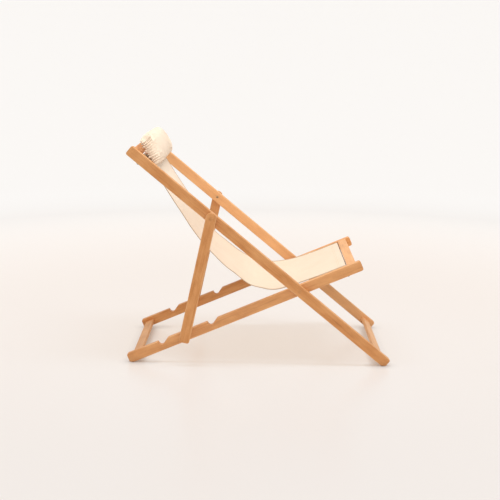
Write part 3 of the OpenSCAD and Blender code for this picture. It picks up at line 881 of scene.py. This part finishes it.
def station_place(j):
    """Where a station lies, from -1 to 1 across the chair, closer together towards the ends."""
    return math.sin(math.pi / 2 * LAST_RING * (2 * j / (STATIONS - 1) - 1))


def pillow_section(v, angle):
    """A point of the slack cover in the pillow's own axes. The left end is fuller than the right one."""
    blunt, taper = (4.5, PILLOW_TAPER) if v < 0 else (8.0, PILLOW_TAPER / 2)
    full = (1 - abs(v) ** blunt) ** (1 / 2.2)
    broad = 1 - taper * abs(v) ** 6
    depth = PILLOW_HEIGHT * ((1 - PILLOW_SIT) if math.sin(angle) > 0 else PILLOW_SIT)
    x = PILLOW_LENGTH / 2 * broad * keep_sign(math.cos(angle), SQUARED_ALONG) * SLACK
    z = depth * full * keep_sign(math.sin(angle), SQUARED_OUT) * SLACK
    return np.array([x - PILLOW_UP, v * PILLOW_HALF, SEAM_HEIGHT + z])


def pillow_mesh():
    """The slack cover: rings round it, and at each end a strip that joins its two faces at the seam."""
    angles = [2 * math.pi * i / RING for i in range(RING)]
    points = [pillow_section(station_place(j), angle) for j in range(STATIONS) for angle in angles]
    faces = []
    for j in range(STATIONS - 1):
        for i in range(RING):
            after = (i + 1) % RING
            a, b = j * RING, (j + 1) * RING
            faces.append((a + i, a + after, b + after, b + i))
    half = RING // 2
    for first, right_end in ((0, True), ((STATIONS - 1) * RING, False)):
        for i in range(half):
            corners = [first + i, first + (RING - i) % RING, first + RING - i - 1, first + i + 1]
            corners = list(dict.fromkeys(corners))
            faces.append(tuple(corners if right_end else reversed(corners)))
    return points, faces


def blow_up(piece):
    """Fills the cover with pressure in a cloth simulation, and limits what it swells."""
    rest = np.array([v.co for v in piece.data.vertices], float)
    pinned = piece.vertex_groups.new(name="held")
    pinned.add([k for k, p in enumerate(rest) if abs(p[1]) > HELD_FROM * PILLOW_HALF], 1.0, "REPLACE")
    cloth = piece.modifiers.new("cover", "CLOTH")
    cloth.settings.use_pressure = True
    cloth.settings.uniform_pressure_force = PRESSURE
    cloth.settings.vertex_group_mass = "held"
    cloth.settings.quality = SIM_STEPS
    cloth.settings.shrink_min = -GIVE
    cloth.settings.effector_weights.gravity = 0.0
    cloth.point_cache.frame_start = 1
    cloth.point_cache.frame_end = SIM_FRAMES
    scene = bpy.context.scene
    for number in range(1, SIM_FRAMES + 1):
        scene.frame_set(number)
    shaped = piece.evaluated_get(bpy.context.evaluated_depsgraph_get())
    blown = np.array([v.co for v in shaped.data.vertices], float)
    piece.modifiers.clear()
    scene.frame_set(1)
    move = blown - rest
    length = np.linalg.norm(move, axis=1)
    move *= np.minimum(1.0, MOST_SWELL / np.maximum(length, 1e-9))[:, None]
    return rest + move


def pleat_depth(j, i):
    """How far ring point i of station j moves out of the cover: round ridges between sharp valleys.

    They are deeper on the underside than on the upper face, and deeper at the right end than at the left.
    """
    v = station_place(j)
    share, end = abs(v), math.copysign(1.0, v)
    if share < PLEATS_FROM:
        return 0.0
    angle = 2 * math.pi * i / RING
    along_seam = keep_sign(math.cos(angle), SQUARED_ALONG)
    face = math.copysign(1.0, math.sin(angle))
    wander = noise.noise(Vector((2.4 * along_seam, 3.0 * end, 7.0 * face)))
    phase = PLEATS / 2 * along_seam + 0.9 * wander + 0.25 * end
    start = PLEAT_START + START_SPREAD * noise.noise(Vector((round(phase), 5.0 * end, 11.0 * face)))
    fade = max(0.0, (share - start) / (1 - start)) ** 1.1
    ridge = abs(math.sin(math.pi * phase)) ** 0.7 - PLEAT_VALLEY
    corner = 1 - 0.7 * abs(along_seam) ** 8
    drawn = UPPER_SHARE if face > 0 else UNDER_SHARE
    drawn += GATHER_SHARE * max(0.0, (share - GATHER_FROM) / (1 - GATHER_FROM))
    drawn *= 1.0 if end < 0 else LEFT_SHARE
    depth = PLEAT_DEPTH * drawn * fade * ridge * corner
    if end < 0 < face:
        beside, inside = (angle - TUCK_AT) / TUCK_WIDTH, (share - TUCK_IN) / TUCK_LENGTH
        depth -= TUCK_DEPTH * math.exp(-beside * beside - inside * inside)
    if end < 0:
        outwards = max(0.0, (share - CORNER_FROM) / (1 - CORNER_FROM))
        depth += CORNER_RISE * math.exp(-(((angle - math.pi) / CORNER_WIDTH) ** 2)) * outwards
    return depth


def make_pillow():
    points, faces = pillow_mesh()
    turned = (0.0, HEAD_SLOPE, 0.0)
    canvas = canvas_material("pillow_canvas", "Object", seed=8.0, rotation=turned, shade_creases=True)
    pillow = link_mesh("headrest_cushion", points, faces, canvas)
    shaped = blow_up(pillow)
    pillow.data.vertices.foreach_set("co", shaped.ravel())
    pillow.data.update()
    normals = np.array([v.normal for v in pillow.data.vertices])
    depths = np.array([pleat_depth(j, i) for j in range(STATIONS) for i in range(RING)])
    soft = np.array([noise.noise(Vector(p * DIMPLES_A_METRE)) for p in shaped])
    shaped = shaped + normals * (depths + DIMPLES * soft)[:, None]
    right_end = [max(0.0, (-station_place(j) - SINK_FROM) / (1 - SINK_FROM)) ** 2 for j in range(STATIONS)]
    lowness = np.clip(1 - shaped[:, 2] / PILLOW_HEIGHT, 0.0, 1.0)
    shaped[:, 2] -= END_SINK * np.repeat(right_end, RING) * lowness
    shaped[:, 2] = np.maximum(shaped[:, 2], CLEAR_OF_CANVAS)
    origin, turn = pillow_frame()
    pillow.data.vertices.foreach_set("co", np.array([turn @ Vector(p) + origin for p in shaped]).ravel())
    pillow.data.update()
    smooth = pillow.modifiers.new("smooth", "SUBSURF")
    smooth.levels = smooth.render_levels = 1
    return pillow


pillow = make_pillow()
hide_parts("headrest_pillow")
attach(pillow, "back_frame")


# Floor and backdrop
FLAT_RINGS = (1.0, 2.5, 5.0)  # radii of the flat part's rings
BOWL_R = 3.0
BOWL_STEPS = 16
FLOOR_SIDES = 96
FLOOR_COLOUR = (0.90, 0.87, 0.84)
SEEN_COLOUR = (0.20, 0.26, 0.31)  # what the camera sees of the lit floor; the glow adds the rest
GLOW_NEAR = (0.62, 0.497, 0.402)
GLOW_FAR = (0.836, 0.775, 0.722)
CONTACT_SHADE = (0.20, 0.12, 0.08)  # painted contact shadow: what is left of the glow right beside a foot
CONTACT_SHADE_REACH = 0.045
GLOSS = 0.18  # how strongly the floor mirrors under the chair
GLOSS_FADE = (0.8, 3.5)  # distances from the middle between which it stops to do so
GLOW_FADE = (0.9, 4.6)  # and between which the near glow turns into the far one


def floor_mesh():
    """A flat round floor whose rim curves up all round, as a studio backdrop does."""
    profile = [(radius, 0.0) for radius in FLAT_RINGS]
    for step in range(1, BOWL_STEPS + 1):
        angle = math.pi / 2 * step / BOWL_STEPS
        profile.append((FLAT_RINGS[-1] + BOWL_R * math.sin(angle), BOWL_R * (1 - math.cos(angle))))
    points, faces = [(0.0, 0.0, 0.0)], []
    for radius, height in profile:
        for k in range(FLOOR_SIDES):
            angle = 2 * math.pi * k / FLOOR_SIDES
            points.append((radius * math.cos(angle), radius * math.sin(angle), height))
    for k in range(FLOOR_SIDES):
        faces.append((0, 1 + k, 1 + (k + 1) % FLOOR_SIDES))
    for ring in range(len(profile) - 1):
        a = 1 + ring * FLOOR_SIDES
        b = a + FLOOR_SIDES
        for k in range(FLOOR_SIDES):
            after = (k + 1) % FLOOR_SIDES
            faces.append((a + k, b + k, b + after, a + after))
    return points, faces


def floor_material():
    """Glows to the camera and in reflections, with painted contact shadow beside the feet, and is a plain
    pale floor to all other light.
    """
    material, tree, shader = new_material("studio_floor", 0.3)
    place = add(tree, "ShaderNodeTexCoord").outputs["Object"]
    cloud = noise_node(tree, place, 1.3, 2.0)
    tint = ramp(tree, cloud, [(0.3, tuple(0.985 * c for c in FLOOR_COLOUR)), (0.7, FLOOR_COLOUR)])
    path = add(tree, "ShaderNodeLightPath")
    seen = math_node(tree, "MAXIMUM", path.outputs["Is Camera Ray"], path.outputs["Is Glossy Ray"])
    tree.links.new(mix_colour(tree, seen, tint, SEEN_COLOUR), shader.inputs["Base Color"])
    away = add(tree, "ShaderNodeVectorMath", {"operation": "LENGTH"}, Vector=place).outputs["Value"]
    tree.links.new(map_range(tree, away, *GLOSS_FADE, GLOSS, 0.0), shader.inputs["Specular IOR Level"])
    glow = mix_colour(tree, map_range(tree, away, *GLOW_FADE), GLOW_NEAR, GLOW_FAR)
    # painted contact shadow: the glow darkens where the chair stands close
    contact_shade = math_node(tree, "SUBTRACT", 1.0, openness(tree, CONTACT_SHADE_REACH), clamp=True)
    glow = mix_colour(tree, contact_shade, glow, CONTACT_SHADE)
    tree.links.new(glow, shader.inputs["Emission Color"])
    tree.links.new(seen, shader.inputs["Emission Strength"])
    return material


floor = link_mesh("studio_backdrop", *floor_mesh(), floor_material())


# Light
WORLD_COLOUR = (1.0, 0.985, 0.97)
WORLD_STRENGTH = 0.60
KEY_LIGHT_W = 62.0
FRONT_LIGHT_W = 24.0
RIGHT_LIGHT_W = 14.0


def area_light(name, place, aim, size, power):
    """A softbox of size (along x, across) in metres."""
    data = bpy.data.lights.new(name, "AREA")
    data.shape = "RECTANGLE"
    data.size, data.size_y = size
    data.energy = power
    lamp = bpy.data.objects.new(name, data)
    bpy.context.scene.collection.objects.link(lamp)
    lamp.location = place
    lamp.rotation_mode = "QUATERNION"
    lamp.rotation_quaternion = (Vector(aim) - Vector(place)).to_track_quat("-Z", "Y")


def make_light():
    world = bpy.data.worlds.new("studio_world")
    world.use_nodes = True
    background = world.node_tree.nodes["Background"]
    background.inputs["Color"].default_value = (*WORLD_COLOUR, 1.0)
    background.inputs["Strength"].default_value = WORLD_STRENGTH
    bpy.context.scene.world = world
    area_light("key_softbox", (-0.2, -0.35, 3.1), (-0.2, -0.2, 0.0), (3.0, 0.5), KEY_LIGHT_W)
    area_light("right_softbox", (3.0, -1.8, 1.7), (0.0, 0.0, 0.5), (1.8, 1.8), RIGHT_LIGHT_W)
    area_light("front_softbox", (0.4, -4.2, 2.2), (0.0, 0.0, 0.4), (2.6, 2.2), FRONT_LIGHT_W)


make_light()
bpy.context.scene.view_settings.view_transform = "Standard"
